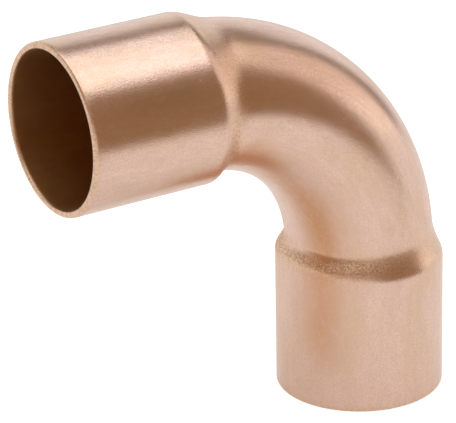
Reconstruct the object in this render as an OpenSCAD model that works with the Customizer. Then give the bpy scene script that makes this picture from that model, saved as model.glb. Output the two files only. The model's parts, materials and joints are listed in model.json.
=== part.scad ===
// Long-radius 90 degree solder elbow for copper water tube, formed in one piece with a socket at each end.
// The lower socket's mouth is centred on the origin and faces -Z. The upper socket's mouth faces -X.

/* [Sockets] */
// Outside diameter of the tube that each socket takes
tube_d = 22.22; // [12:0.01:35]
// Radial gap between the tube and its socket, which the solder fills
solder_gap = 0.055; // [0.03:0.005:0.1]
// Wall of a socket
socket_wall = 0.95; // [0.6:0.05:1.6]
// Length of a socket's straight bore, from its mouth to its shoulder
socket_l = 20.5; // [12:0.5:32]

/* [Mouth edges] */
// Rounding of the outer edge of a mouth
rim_round = 0.5; // [0.1:0.05:0.5]
// Chamfer that deburrs the inner edge of a mouth
mouth_chamfer = 0.15; // [0.02:0.01:0.2]

/* [Shoulders] */
// Slope of a shoulder, measured from the socket's axis
shoulder_angle = 23; // [18:1:40]
// Outside rounding where a socket turns into its shoulder
shoulder_round = 4.5; // [2:0.25:8]
// Depth that a shoulder's end reaches below the outer side of the bend
tail_depth = 0.3; // [0.1:0.05:0.5]

/* [Bend] */
// Centreline radius of the bend
bend_r = 28.3; // [22:0.1:60]
// Wall of the bend
bend_wall = 0.95; // [0.6:0.05:1.6]
// Step from the tube's outside in to the bend's bore, which stops the tube
stop_step = 1.5; // [0.8:0.1:2.5]
// Distance past the end of a socket's straight bore at which the bend starts
bend_lead = 1; // [0.2:0.1:5]

/* [Hidden] */
$fn = 96;

// Flat bands that make up each rounding
rim_bands = 5;
shoulder_bands = 5;
// Length by which a cut passes the face that it opens
cut_past = 1;

socket_bore_r = tube_d / 2 + solder_gap;
socket_r = socket_bore_r + socket_wall;
bend_bore_r = tube_d / 2 - stop_step;
bend_body_r = bend_bore_r + bend_wall;
bend_z = socket_l + bend_lead;
centre_to_end = bend_z + bend_r;

// Points from angle a to angle b on an arc of radius r round [x, z].
function arc(x, z, r, a, b, bands) =
    [for (i = [0 : bands])
        let (t = a + (b - a) * i / bands)
        [x + r * cos(t), z + r * sin(t)]];

// Where a line that leaves point p at the shoulder's slope has come tail_depth below the outer side of a
// bend of tube radius r. It solves (out - m z)^2 + z^2 = (bend_r + r)^2 for the height z above the bend's start.
function tail_end(p, r) =
    let (
        m = tan(shoulder_angle),
        out = p[0] + bend_r + tail_depth + m * (p[1] - bend_z),
        k = 1 + m * m,
        z = (m * out - sqrt(pow(m * out, 2) - k * (pow(out, 2) - pow(bend_r + r, 2)))) / k
    )
    [p[0] - m * (z + bend_z - p[1]), z + bend_z];

// Outline of a shoulder from the end of a socket of radius from_r to its tail inside a bend of tube radius r.
// The outside and the bore share one centre, so that the wall stays even.
function shoulder(from_r, r) =
    let (
        x = socket_r - shoulder_round,
        turn = arc(x, socket_l, from_r - x, 0, shoulder_angle, shoulder_bands),
        tail = tail_end(turn[shoulder_bands], r)
    )
    concat(turn, [tail, [0, tail[1]]]);

// Puts a copy at each end, with +Z running into the elbow.
module at_both_ends() {
    children();
    translate([-centre_to_end, 0, centre_to_end]) rotate([0, 90, 0]) children();
}

module socket_outside() {
    rim = arc(socket_r - rim_round, rim_round, rim_round, -90, 0, rim_bands);
    rotate_extrude() polygon(concat([[0, 0]], rim, shoulder(socket_r, bend_body_r)));
}

module socket_bore() {
    chamfer = [[socket_bore_r + mouth_chamfer + cut_past, -cut_past], [socket_bore_r, mouth_chamfer]];
    rotate_extrude() polygon(concat([[0, -cut_past]], chamfer, shoulder(socket_bore_r, bend_bore_r)));
}

// Quarter of a ring whose tube has radius r.
module quarter_bend(r) {
    translate([-bend_r, 0, bend_z]) rotate([90, 0, 0])
        rotate_extrude(angle = 90) translate([bend_r, 0]) circle(r);
}

module elbow_body() {
    color("#cf9a80")
        difference() {
            union() {
                quarter_bend(bend_body_r);
                at_both_ends() socket_outside();
            }
            union() {
                quarter_bend(bend_bore_r);
                at_both_ends() socket_bore();
            }
        }
}

elbow_body();
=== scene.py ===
# Looks of the copper pipe elbow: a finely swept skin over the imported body, satin copper and a pale studio.
import bpy
import json
import math
import numpy as np
from mathutils import Matrix, Vector


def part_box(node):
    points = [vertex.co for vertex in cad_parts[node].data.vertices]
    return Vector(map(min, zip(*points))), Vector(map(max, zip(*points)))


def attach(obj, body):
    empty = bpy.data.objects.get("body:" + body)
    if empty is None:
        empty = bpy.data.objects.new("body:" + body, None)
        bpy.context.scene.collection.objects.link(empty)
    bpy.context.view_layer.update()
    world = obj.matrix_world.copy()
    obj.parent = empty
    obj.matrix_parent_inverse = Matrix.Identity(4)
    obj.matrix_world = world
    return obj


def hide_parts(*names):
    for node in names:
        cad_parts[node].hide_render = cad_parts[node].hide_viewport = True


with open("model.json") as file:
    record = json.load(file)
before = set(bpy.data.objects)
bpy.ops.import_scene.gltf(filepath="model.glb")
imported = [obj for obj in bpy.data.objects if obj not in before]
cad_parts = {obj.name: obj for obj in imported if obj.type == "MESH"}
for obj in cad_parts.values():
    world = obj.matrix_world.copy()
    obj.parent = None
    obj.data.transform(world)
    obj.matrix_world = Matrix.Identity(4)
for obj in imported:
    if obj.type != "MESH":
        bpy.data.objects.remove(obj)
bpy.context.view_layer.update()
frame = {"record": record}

MM = 0.001

# Sizes in millimetres. These repeat the elbow's own dimensions.
BEND_R = 28.3
BEND_BODY_R = 10.56
BEND_WALL = 0.95
RIM_ROUND = 0.5
MOUTH_CHAMFER = 0.15

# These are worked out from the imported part
low_corner, high_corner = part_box("elbow_body")
mounts = {mount["name"]: mount for mount in frame["record"]["mounts"]}
SOCKET_R = high_corner.y / MM
SOCKET_BORE_R = mounts["lower_socket"]["dims"]["r_mm"]
SOCKET_L = mounts["lower_socket"]["dims"]["length_mm"] + MOUTH_CHAMFER
CENTRE_TO_END = -low_corner.x / MM
BEND_Z = CENTRE_TO_END - BEND_R
HALF_LENGTH = BEND_Z + BEND_R * math.pi / 4

# The S-shaped shoulder starts this far before the end of the socket's straight bore, and runs for this length
SHOULDER_EARLY = 1.1
SHOULDER_LENGTH = 5.2
# Under 1, a shoulder is steepest before its middle: it leaves the socket quickly and meets the bend slowly
SHOULDER_SKEW = 0.86
# It lies this much further along on the bend's inner side
LATE_INSIDE = 1.9
# The upper socket was pushed out unevenly: its shoulder is also late by up to this much, about this turn
UPPER_LATE = 1.9
UPPER_LATE_TURN = math.radians(60)
# A bent tube flattens: it is this much wider square to the bend plane, each side
BEND_OVAL = 0.35

# Fineness of the swept mesh: points round a ring, steps between rings on plain stretches and on shoulders,
# and rings over a mouth's rounding
SIDES = 216
RING_STEP = 0.52
FINE_STEP = 0.2
RIM_RINGS = 7


# ---------------------------------------------------------------- shape

# A point's turn is its angle round the tube's own axis: 0 on the bend's outer side, a quarter turn towards +Y
# and pi on its inner side. Its along is its distance from the lower mouth, measured down the centreline.

def ease(share):
    """0 to 1 with no slope and no curvature at either end."""
    share = np.clip(share, 0.0, 1.0)
    return share ** 3 * (10 - 15 * share + 6 * share ** 2)


def rise(value, start, length):
    """0 up to start, and 1 from there on after this length."""
    return ease((value - start) / length)


def near(turn, middle, power):
    """1 at the middle turn and 0 opposite it. A higher power fades sooner."""
    return (0.5 + 0.5 * np.cos(turn - middle)) ** power


def ring_at(along, socket_r, bend_r, turn, uneven):
    """One ring square to the centreline, on the lower half. Its radius eases through the shoulder from the
    socket's cylinder, which is round the socket's own axis, to the bend's slightly oval tube. uneven is how
    late the shoulder is about UPPER_LATE_TURN."""
    angle = max(along - BEND_Z, 0.0) / BEND_R
    height = min(along, BEND_Z)
    centre = np.array([-BEND_R * (1 - math.cos(angle)), 0, height + BEND_R * math.sin(angle)])
    outward = np.array([math.cos(angle), 0, math.sin(angle)])
    spokes = np.cos(turn)[:, None] * outward + np.sin(turn)[:, None] * np.array([0, 1, 0])
    # Distance along each spoke to the cylinder: the root of a quadratic.
    offset = -centre[0]
    level = np.cos(turn) * math.cos(angle)
    a = level ** 2 + np.sin(turn) ** 2
    root = np.sqrt((offset * level) ** 2 - a * (offset ** 2 - socket_r ** 2))
    to_cylinder = (offset * level + root) / a
    tube = bend_r + BEND_OVAL * np.sin(turn) ** 2
    late = LATE_INSIDE * near(turn, math.pi, 6) + uneven * near(turn, UPPER_LATE_TURN, 3)
    into_shoulder = (along - SOCKET_L + SHOULDER_EARLY - late) / SHOULDER_LENGTH
    share = ease(np.clip(into_shoulder, 0.0, 1.0) ** SHOULDER_SKEW)
    reach = to_cylinder + (tube - to_cylinder) * share
    return centre + reach[:, None] * spokes


def stations(start, end, step):
    """Evenly spaced distances after start, up to end, about step apart."""
    return list(np.linspace(start, end, max(2, math.ceil((end - start) / step) + 1))[1:])


def half_skin(mouth, socket_r, bend_r, turn, uneven):
    """Rings from the lower mouth to the bend's middle. mouth lists the edge's (radius, height) points."""
    circle = np.stack([np.cos(turn), np.sin(turn), np.zeros(len(turn))], -1)
    rings = [(z, radius * circle + np.array([0, 0, z])) for radius, z in mouth]
    shoulder_start = SOCKET_L - SHOULDER_EARLY
    shoulder_end = shoulder_start + SHOULDER_LENGTH + max(LATE_INSIDE, UPPER_LATE)
    places = stations(mouth[-1][1], shoulder_start, RING_STEP)
    places += stations(shoulder_start, shoulder_end, FINE_STEP)
    places += stations(shoulder_end, HALF_LENGTH, RING_STEP)
    rings += [(along, ring_at(along, socket_r, bend_r, turn, uneven)) for along in places]
    return rings


def both_halves(mouth, socket_r, bend_r, turn):
    """All rings from mouth to mouth, each with its distance from the lower mouth. The upper half is made as a
    lower one and mirrored about the bend's middle."""
    lower = half_skin(mouth, socket_r, bend_r, turn, 0.0)
    upper = half_skin(mouth, socket_r, bend_r, turn, UPPER_LATE)
    mirrored = []
    for along, ring in reversed(upper[:-1]):
        other = ring.copy()
        other[:, 0] = ring[:, 2] - CENTRE_TO_END
        other[:, 2] = ring[:, 0] + CENTRE_TO_END
        mirrored.append((2 * HALF_LENGTH - along, other))
    return lower + mirrored


def mouth_outside():
    """The rounded outer edge, from the mouth's face to the socket's side."""
    steps = np.linspace(0, math.pi / 2, RIM_RINGS)
    core_r = SOCKET_R - RIM_ROUND
    return [(core_r + RIM_ROUND * math.sin(a), RIM_ROUND * (1 - math.cos(a))) for a in steps]


def mouth_inside():
    """The chamfered inner edge."""
    return [(SOCKET_BORE_R + MOUTH_CHAMFER, 0.0), (SOCKET_BORE_R, MOUTH_CHAMFER)]


# ---------------------------------------------------------------- where the marks lie

# The forming dies gripped each neck this far past the straight bore, about this wide
GRIP_MIDDLE = 2.0
GRIP_WIDTH = 1.8
# How strong their marks are on the outer side of the bend, and how much stronger on its inner side
GRIP_OUTER = 0.35
GRIP_INNER = 0.65
# Deburring marks the rim too, this strongly and this far in
RIM_MARKS = 0.6
RIM_WIDTH = 0.7
# The bore's brown starts at the chamfer and is full after this length
BORE_FADE = 0.4


def forming_strength(from_mouth, turn):
    """How strongly points this far from the nearer mouth show the marks of forming and deburring, 0 to 1. Its
    square also places the painted glints.
    """
    neck = math.exp(-((from_mouth - SOCKET_L - GRIP_MIDDLE) / GRIP_WIDTH) ** 2)
    # From 0 just short of the flank to 1 well round on the inner side
    inner_side = np.clip((0.25 - np.cos(turn)) / 0.8, 0, 1)
    rim = RIM_MARKS * math.exp(-(from_mouth / RIM_WIDTH) ** 2)
    return neck * (GRIP_OUTER + GRIP_INNER * inner_side) + rim


# The painted shade is a band on each flank of the bend's inner side: darker orange colour standing in for
# the reflection of the shaded floor there. In degrees from the inner line, these are its place, how far it
# drifts outward at the upper neck, and how far back the streak past the neck lies
PAINTED_SHADE_TURN = 30
PAINTED_SHADE_DRIFT = 27
PAINTED_SHADE_STREAK_BACK = 8
# Width of the band and of the streak, in the same degrees
PAINTED_SHADE_WIDTH = 15
PAINTED_SHADE_STREAK_WIDTH = 6
# Strength all along, and the extra low on the bend, which is centred and spreads these many degrees up it
PAINTED_SHADE_STRENGTH = 0.8
PAINTED_SHADE_EXTRA = 0.35
PAINTED_SHADE_EXTRA_AT = 22
PAINTED_SHADE_EXTRA_SPREAD = 22
# How much stronger the drifted band is
PAINTED_SHADE_DRIFT_EXTRA = 0.15
# Millimetres over which it fades in from the lower mouth
PAINTED_SHADE_FADE_IN = 14


def painted_shade_strength(along, turn):
    """How much painted shade lies on points this far from the lower mouth, 0 to 1: a darker orange that
    stands in for the reflection of the shaded floor. The band is strongest low on the bend and drifts outward
    at the upper neck. Past it, a thin streak fades towards the upper mouth."""
    degrees_up = math.degrees((along - BEND_Z) / BEND_R)
    drift = rise(degrees_up, 50, 35)
    past_neck = rise(degrees_up, 76, 16)
    faded = rise(degrees_up, 88, 50)
    from_inner_line = np.degrees(np.abs(turn - math.pi))
    middle = PAINTED_SHADE_TURN + PAINTED_SHADE_DRIFT * drift - PAINTED_SHADE_STREAK_BACK * past_neck
    width = PAINTED_SHADE_WIDTH + (PAINTED_SHADE_STREAK_WIDTH - PAINTED_SHADE_WIDTH) * past_neck
    band = np.exp(-((from_inner_line - middle) / width) ** 2)
    low_on_bend = math.exp(-((degrees_up - PAINTED_SHADE_EXTRA_AT) / PAINTED_SHADE_EXTRA_SPREAD) ** 2)
    strength = (PAINTED_SHADE_STRENGTH + PAINTED_SHADE_EXTRA * low_on_bend) * (1 + PAINTED_SHADE_DRIFT_EXTRA * drift)
    return band * strength * rise(along, 0, PAINTED_SHADE_FADE_IN) * (1 - faded)


# The smudge's middle, in millimetres from the upper mouth, and half its length. Its turn and width in degrees
SMUDGE_MIDDLE = 11.5
SMUDGE_HALF_LENGTH = 6.5
SMUDGE_TURN = 297
SMUDGE_WIDTH = 9


def smudge_strength(along, turn):
    """The dull smudge along one side of the upper socket, on points this far from the lower mouth, 0 to 1."""
    from_upper_mouth = 2 * HALF_LENGTH - along
    lengthwise = math.exp(-((from_upper_mouth - SMUDGE_MIDDLE) / SMUDGE_HALF_LENGTH) ** 4)
    return lengthwise * np.exp(-((np.degrees(turn) - SMUDGE_TURN) / SMUDGE_WIDTH) ** 2)


def elbow_skin():
    """The whole elbow as one closed mesh: outside from mouth to mouth, then back along the bore. Its
    attributes hold the place of each point on a straight tube, the strength of each kind of mark, and the
    strength of the painted shade."""
    turn = np.linspace(0, 2 * math.pi, SIDES, endpoint=False)
    outside = both_halves(mouth_outside(), SOCKET_R, BEND_BODY_R, turn)
    bore = both_halves(mouth_inside(), SOCKET_BORE_R, BEND_BODY_R - BEND_WALL, turn)
    rings = outside + bore[::-1]
    points = np.concatenate([ring for _, ring in rings])
    sweep = np.zeros((len(points), 3))
    marks = {name: np.zeros(len(points)) for name in ("forming", "oxide", "smudge", "inside")}
    for i, (along, ring) in enumerate(rings):
        part = slice(i * SIDES, (i + 1) * SIDES)
        sweep[part, 0] = SOCKET_R * np.cos(turn)
        sweep[part, 1] = SOCKET_R * np.sin(turn)
        sweep[part, 2] = along
        from_mouth = min(along, 2 * HALF_LENGTH - along)
        marks["forming"][part] = forming_strength(from_mouth, turn)
        marks["oxide"][part] = painted_shade_strength(along, turn)
        marks["smudge"][part] = smudge_strength(along, turn)
        if i >= len(outside):
            marks["inside"][part] = rise(from_mouth, MOUTH_CHAMFER, BORE_FADE)

    faces = []
    for i in range(len(rings)):
        a = i * SIDES
        b = (i + 1) % len(rings) * SIDES
        for j in range(SIDES):
            k = (j + 1) % SIDES
            faces.append((a + j, a + k, b + k, b + j))
    mesh = bpy.data.meshes.new("copper_elbow")
    mesh.from_pydata((points * MM).tolist(), [], faces)
    mesh.polygons.foreach_set("use_smooth", [True] * len(faces))
    mesh.attributes.new("sweep", "FLOAT_VECTOR", "POINT").data.foreach_set("vector", sweep.ravel())
    for name, strength in marks.items():
        mesh.attributes.new(name, "FLOAT", "POINT").data.foreach_set("value", strength)
    mesh.update()
    return mesh


# ---------------------------------------------------------------- material

class Graph:
    """A short way to write shader nodes. node() gives the node it makes, and those that build a value give
    its output socket."""

    def __init__(self, tree):
        self.tree = tree

    def node(self, kind, settings=None, **inputs):
        made = self.tree.nodes.new(kind)
        for name, value in (settings or {}).items():
            setattr(made, name, value)
        for name, value in inputs.items():
            self.feed(made.inputs[name.replace("_", " ")], value)
        return made

    def feed(self, socket, value):
        if isinstance(value, bpy.types.NodeSocket):
            self.tree.links.new(value, socket)
        else:
            socket.default_value = value

    def math(self, operation, *values):
        made = self.tree.nodes.new("ShaderNodeMath")
        made.operation = operation
        for socket, value in zip(made.inputs, values):
            self.feed(socket, value)
        return made.outputs[0]

    def chain(self, operation, first, *others):
        result = first
        for value in others:
            result = self.math(operation, result, value)
        return result

    def product(self, *values):
        return self.chain("MULTIPLY", *values)

    def total(self, *values):
        return self.chain("ADD", *values)

    def attribute(self, name, output="Fac"):
        return self.node("ShaderNodeAttribute", {"attribute_name": name}).outputs[output]

    def stretched(self, vector, lengthwise):
        """vector with its third part, the distance along the elbow, scaled."""
        made = self.tree.nodes.new("ShaderNodeVectorMath")
        made.operation = "MULTIPLY"
        self.feed(made.inputs[0], vector)
        made.inputs[1].default_value = (1.0, 1.0, lengthwise)
        return made.outputs[0]

    def noise(self, vector, scale, detail=3.0, roughness=0.5, distortion=0.0):
        made = self.node("ShaderNodeTexNoise", Vector=vector, Scale=scale, Detail=detail,
                         Roughness=roughness, Distortion=distortion)
        return made.outputs["Fac"]

    def spread(self, value, start, end, low=0.0, high=1.0):
        made = self.node("ShaderNodeMapRange", {"interpolation_type": "SMOOTHSTEP"}, Value=value,
                         From_Min=start, From_Max=end, To_Min=low, To_Max=high)
        return made.outputs["Result"]

    def mix(self, share, a, b):
        made = self.tree.nodes.new("ShaderNodeMix")
        made.data_type = "RGBA"
        self.feed(made.inputs[0], share)
        self.feed(made.inputs[6], a)
        self.feed(made.inputs[7], b)
        return made.outputs[2]

    def ramp(self, value, stops):
        """A colour ramp over value from 0 to 1. stops lists (place, colour)."""
        made = self.tree.nodes.new("ShaderNodeValToRGB")
        elements = made.color_ramp.elements
        elements.remove(elements[1])
        elements[0].position = stops[0][0]
        for place, _ in stops[1:]:
            elements.new(place)
        for element, (_, shade) in zip(elements, stops):
            element.color = colour(*shade)
        self.feed(made.inputs["Fac"], value)
        return made.outputs["Color"]


def colour(red, green, blue):
    return (red, green, blue, 1.0)


PINK_COPPER = colour(0.84, 0.605, 0.505)
OCHRE_COPPER = colour(0.79, 0.565, 0.41)
STAIN = colour(0.62, 0.47, 0.31)
SMUDGE = colour(0.60, 0.47, 0.31)
DRAW_LINE = colour(0.73, 0.51, 0.41)
FORMED_COPPER = colour(0.90, 0.58, 0.33)
# Painted shade: a darker orange standing in for the reflection of the shaded floor beside the bend
PAINTED_SHADE = colour(0.63, 0.29, 0.105)
MOTTLE = colour(0.74, 0.51, 0.40)
GRAIN = colour(0.67, 0.46, 0.36)
SPECK = colour(0.50, 0.29, 0.12)
# Painted glint: a pale colour standing in for highlights on the rough shoulders and rim
PAINTED_GLINT = colour(0.97, 0.84, 0.66)
BORE_BROWN = colour(0.58, 0.32, 0.12)
BORE_TAN = colour(0.64, 0.35, 0.12)

# Height of each kind of relief, in millimetres
GRAIN_RELIEF = 0.016
MOTTLE_RELIEF = 0.006
PIT_RELIEF = 0.13


def copper_material():
    """Satin copper. Noise scales are roughly in features per millimetre, on the straight tube."""
    made = bpy.data.materials.new("satin_copper")
    made.use_nodes = True
    graph = Graph(made.node_tree)
    shader = made.node_tree.nodes["Principled BSDF"]
    shader.inputs["Metallic"].default_value = 1.0
    shader.inputs["Sheen Weight"].default_value = 0.08
    shader.inputs["Sheen Roughness"].default_value = 0.3

    sweep = graph.attribute("sweep", "Vector")
    forming = graph.attribute("forming")
    # Strength of the painted shade, which stands in for the reflected shaded floor
    oxide = graph.attribute("oxide")
    smudge = graph.attribute("smudge")
    inside = graph.attribute("inside")
    # The grip marks' strength squared: it places the pits and the painted glints
    grip_and_glint_mask = graph.product(forming, forming)

    patches = graph.spread(graph.noise(graph.stretched(sweep, 0.5), 0.2, 4.0, 0.6), 0.42, 0.68)
    stains = graph.noise(graph.stretched(sweep, 0.4), 0.33, 5.0, 0.65, 0.4)
    mottle = graph.noise(graph.stretched(sweep, 0.5), 0.9, 4.0, 0.65)
    draw_lines = graph.noise(graph.stretched(sweep, 0.05), 1.3, 4.0, 0.65)
    grain = graph.noise(sweep, 4.2, 3.0, 0.6)
    specks = graph.spread(graph.noise(sweep, 3.6, 3.0, 0.7), 0.51, 0.6)
    # Painted glints: pale spots standing in for highlights at the shoulders and rim
    painted_glints = graph.spread(graph.noise(sweep, 3.2, 2.0, 0.6), 0.53, 0.60)
    pits = graph.noise(sweep, 3.0, 3.0, 0.65)

    # Colour: pink copper with ochre patches, then each kind of mark over it, and painted shade on the bend's
    # inner
    #     flanks. Specks lie at the shoulders and the rim, and so do painted glints: pale spots standing in
    #     for highlights.
    body = graph.mix(patches, PINK_COPPER, OCHRE_COPPER)
    layers = [
        (graph.spread(stains, 0.54, 0.72, 0.0, 0.3), STAIN),
        (graph.product(smudge, graph.spread(mottle, 0.3, 0.6, 0.25, 0.9)), SMUDGE),
        (graph.spread(draw_lines, 0.42, 0.7, 0.0, 0.35), DRAW_LINE),
        (graph.product(forming, 0.6), FORMED_COPPER),
        # Painted shade on the bend's inner flanks, standing in for the reflection of the shaded floor
        (graph.product(oxide, graph.spread(mottle, 0.3, 0.65, 0.65, 1.0)), PAINTED_SHADE),
        (graph.spread(mottle, 0.42, 0.72, 0.0, 0.35), MOTTLE),
        (graph.spread(grain, 0.35, 0.75, 0.0, 0.7), GRAIN),
        (graph.product(specks, forming, 0.85), SPECK),
        # Painted glints: pale spots standing in for highlights
        (graph.product(painted_glints, grip_and_glint_mask, 0.7), PAINTED_GLINT),
    ]
    for share, shade in layers:
        body = graph.mix(share, body, shade)
    bore = graph.mix(patches, BORE_BROWN, BORE_TAN)
    graph.feed(shader.inputs["Base Color"], graph.mix(inside, body, bore))

    # Roughness: satin, duller where it is mottled or formed, and in the bore.
    satin = graph.spread(mottle, 0.3, 0.75, 0.215, 0.275)
    dull = graph.total(satin, graph.product(forming, 0.17), graph.product(inside, 0.2))
    graph.feed(shader.inputs["Roughness"], dull)

    # Relief: fine satin grain everywhere, and coarser pits where the dies gripped.
    fine = graph.product(grain, GRAIN_RELIEF)
    drawn = graph.product(mottle, MOTTLE_RELIEF)
    coarse = graph.product(pits, grip_and_glint_mask, PIT_RELIEF)
    bump = graph.node("ShaderNodeBump", Height=graph.total(fine, drawn, coarse), Strength=1.0, Distance=MM)
    graph.feed(shader.inputs["Normal"], bump.outputs["Normal"])
    return made


# ---------------------------------------------------------------- studio

# Bearings are seen from the elbow's middle: azimuth 0 is towards -Y, 90 towards +X. Lengths are in metres.
ELBOW_MIDDLE = (Vector(low_corner) + Vector(high_corner)) / 2

BACKDROP_AZIMUTH = 175
# The room's colours by height: 0.5 is the horizon and 1 is straight up
FRONT_ROOM = [
    (0.50, (0.80, 0.75, 0.71)),
    (0.55, (0.60, 0.50, 0.43)),
    (0.60, (0.44, 0.31, 0.23)),
    (0.70, (0.36, 0.24, 0.17)),
    (0.92, (0.29, 0.18, 0.11)),
]
BACK_ROOM = [
    (0.50, (1.0, 1.0, 1.0)),
    (0.74, (0.85, 0.84, 0.84)),
    (0.80, (0.24, 0.18, 0.14)),
    (0.92, (0.22, 0.15, 0.11)),
]

FLOOR_RADIUS = 6.0
FLOOR_SIDES = 96
# The floor lies this far under the elbow, so that the two don't share a plane
FLOOR_DROP = 0.02 * MM
FLOOR_GREY = colour(0.60, 0.60, 0.60)
# The floor's own glow, and what the camera sees beyond it, which makes it white
FLOOR_GLOW = 0.42
FLOOR_CAMERA_GLOW = 0.4

# The photograph's view
CAMERA_AZIMUTH = -31.92
CAMERA_ELEVATION = 22.81
CAMERA_ROLL = -1.07
CAMERA_DISTANCE = 0.4665
CAMERA_TARGET = Vector((-0.0221, 0, 0.03147))
LENS_MM = 263.66052
SENSOR_MM = 36.0


def toward(azimuth, elevation):
    a = math.radians(azimuth)
    e = math.radians(elevation)
    return Vector((math.sin(a) * math.cos(e), -math.cos(a) * math.cos(e), math.sin(e)))


def facing_from(middle, azimuth, elevation, distance, roll=0.0):
    """A place at that bearing from middle, with local +Z pointing away from it."""
    back = toward(azimuth, elevation)
    right = Vector((math.cos(math.radians(azimuth)), math.sin(math.radians(azimuth)), 0))
    up = back.cross(right)
    turn = math.radians(roll)
    x_axis = math.cos(turn) * right + math.sin(turn) * up
    y_axis = math.cos(turn) * up - math.sin(turn) * right
    place = Matrix((x_axis, y_axis, back)).transposed().to_4x4()
    place.translation = middle + distance * back
    return place


def soft_light(name, azimuth, elevation, distance, width, height, radiance, tint):
    """A rectangular soft box. radiance is how bright its face looks."""
    light = bpy.data.lights.new(name, "AREA")
    light.shape = "RECTANGLE"
    light.size = width
    light.size_y = height
    light.energy = radiance * math.pi * width * height
    light.color = tint
    lamp = bpy.data.objects.new(name, light)
    lamp.matrix_world = facing_from(ELBOW_MIDDLE, azimuth, elevation, distance)
    lamp.visible_camera = False
    bpy.context.scene.collection.objects.link(lamp)


def card(name, azimuth, distance, width, left_height, right_height, shade):
    """A dark card standing on the floor that only reflections see, as used to put a dark line on polished
    metal. Its top slopes between the two heights, left and right as seen from outside."""
    mesh = bpy.data.meshes.new(name)
    half = width / 2
    corners = [(-half, 0, 0), (half, 0, 0), (half, 0, right_height), (-half, 0, left_height)]
    mesh.from_pydata(corners, [], [(0, 1, 2, 3)])
    made = bpy.data.objects.new(name, mesh)
    made.location = Vector((ELBOW_MIDDLE.x, ELBOW_MIDDLE.y, 0)) + distance * toward(azimuth, 0)
    made.rotation_euler.z = math.radians(azimuth)
    for ray in ("camera", "diffuse", "shadow", "transmission"):
        setattr(made, "visible_" + ray, False)
    material = bpy.data.materials.new(name)
    material.use_nodes = True
    material.node_tree.nodes.clear()
    graph = Graph(material.node_tree)
    glow = graph.node("ShaderNodeEmission", Color=colour(*shade), Strength=1.0)
    output = graph.node("ShaderNodeOutputMaterial")
    graph.feed(output.inputs["Surface"], glow.outputs[0])
    mesh.materials.append(material)
    bpy.context.scene.collection.objects.link(made)


def make_world():
    """White to the camera. To the metal it is a warm dim room in front and a white backdrop behind."""
    world = bpy.data.worlds.new("studio")
    bpy.context.scene.world = world
    world.use_nodes = True
    tree = world.node_tree
    tree.nodes.clear()
    graph = Graph(tree)
    direction = graph.node("ShaderNodeTexCoord").outputs["Generated"]
    parts = graph.node("ShaderNodeSeparateXYZ", Vector=direction)
    rise = graph.math("MULTIPLY_ADD", parts.outputs["Z"], 0.5, 0.5)
    facing = graph.tree.nodes.new("ShaderNodeVectorMath")
    facing.operation = "DOT_PRODUCT"
    graph.feed(facing.inputs[0], direction)
    facing.inputs[1].default_value = toward(BACKDROP_AZIMUTH, 0)
    behind = graph.spread(facing.outputs["Value"], 0.15, 0.4)
    room = graph.mix(behind, graph.ramp(rise, FRONT_ROOM), graph.ramp(rise, BACK_ROOM))
    straight = graph.node("ShaderNodeLightPath").outputs["Is Camera Ray"]
    shown = graph.mix(straight, room, colour(1, 1, 1))
    background = graph.node("ShaderNodeBackground", Color=shown, Strength=1.0)
    output = graph.node("ShaderNodeOutputWorld")
    graph.feed(output.inputs["Surface"], background.outputs[0])


def make_floor():
    """A wide pale disc."""
    mesh = bpy.data.meshes.new("studio_floor")
    angles = [2 * math.pi * i / FLOOR_SIDES for i in range(FLOOR_SIDES)]
    ring = [(FLOOR_RADIUS * math.cos(a), FLOOR_RADIUS * math.sin(a), -FLOOR_DROP) for a in angles]
    mesh.from_pydata(ring, [], [tuple(range(FLOOR_SIDES))])
    floor = bpy.data.objects.new("studio_floor", mesh)
    material = bpy.data.materials.new("pale_floor")
    material.use_nodes = True
    tree = material.node_tree
    tree.nodes.clear()
    graph = Graph(tree)
    paper = graph.node("ShaderNodeBsdfDiffuse", Color=FLOOR_GREY)
    straight = graph.node("ShaderNodeLightPath").outputs["Is Camera Ray"]
    glow = graph.node("ShaderNodeEmission", Color=colour(1, 1, 1))
    graph.feed(glow.inputs["Strength"], graph.math("MULTIPLY_ADD", straight, FLOOR_CAMERA_GLOW, FLOOR_GLOW))
    both = tree.nodes.new("ShaderNodeAddShader")
    graph.feed(both.inputs[0], paper.outputs[0])
    graph.feed(both.inputs[1], glow.outputs[0])
    output = graph.node("ShaderNodeOutputMaterial")
    graph.feed(output.inputs["Surface"], both.outputs[0])
    mesh.materials.append(material)
    bpy.context.scene.collection.objects.link(floor)


def make_studio():
    make_world()
    make_floor()
    soft_light("overhead_soft_box", azimuth=90, elevation=90, distance=1.0, width=1.3, height=1.3,
               radiance=1.4, tint=(0.86, 0.94, 1.0))
    soft_light("side_soft_box", azimuth=78.5, elevation=21, distance=1.2, width=0.82, height=1.9,
               radiance=0.55, tint=(1.0, 0.98, 0.95))
    card("front_flag", azimuth=28, distance=0.147, width=0.17, left_height=0.20, right_height=0.105,
         shade=(0.32, 0.20, 0.11))
    card("back_flag", azimuth=104, distance=0.6, width=0.13, left_height=0.7, right_height=0.7,
         shade=(0.24, 0.18, 0.15))


def make_camera():
    """A long lens, a little above the elbow and to the left of the bend plane's normal."""
    lens = bpy.data.cameras.new("photo_camera")
    lens.sensor_width = SENSOR_MM
    lens.lens = LENS_MM
    camera = bpy.data.objects.new("photo_camera", lens)
    camera.matrix_world = facing_from(CAMERA_TARGET, CAMERA_AZIMUTH, CAMERA_ELEVATION, CAMERA_DISTANCE,
                                      CAMERA_ROLL)
    bpy.context.scene.collection.objects.link(camera)
    bpy.context.scene.camera = camera


# ---------------------------------------------------------------- build

make_camera()
elbow = bpy.data.objects.new("copper_elbow", elbow_skin())
bpy.context.scene.collection.objects.link(elbow)
elbow.data.materials.append(copper_material())
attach(elbow, "root")
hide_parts("elbow_body")
make_studio()
bpy.context.scene.view_settings.view_transform = "Standard"
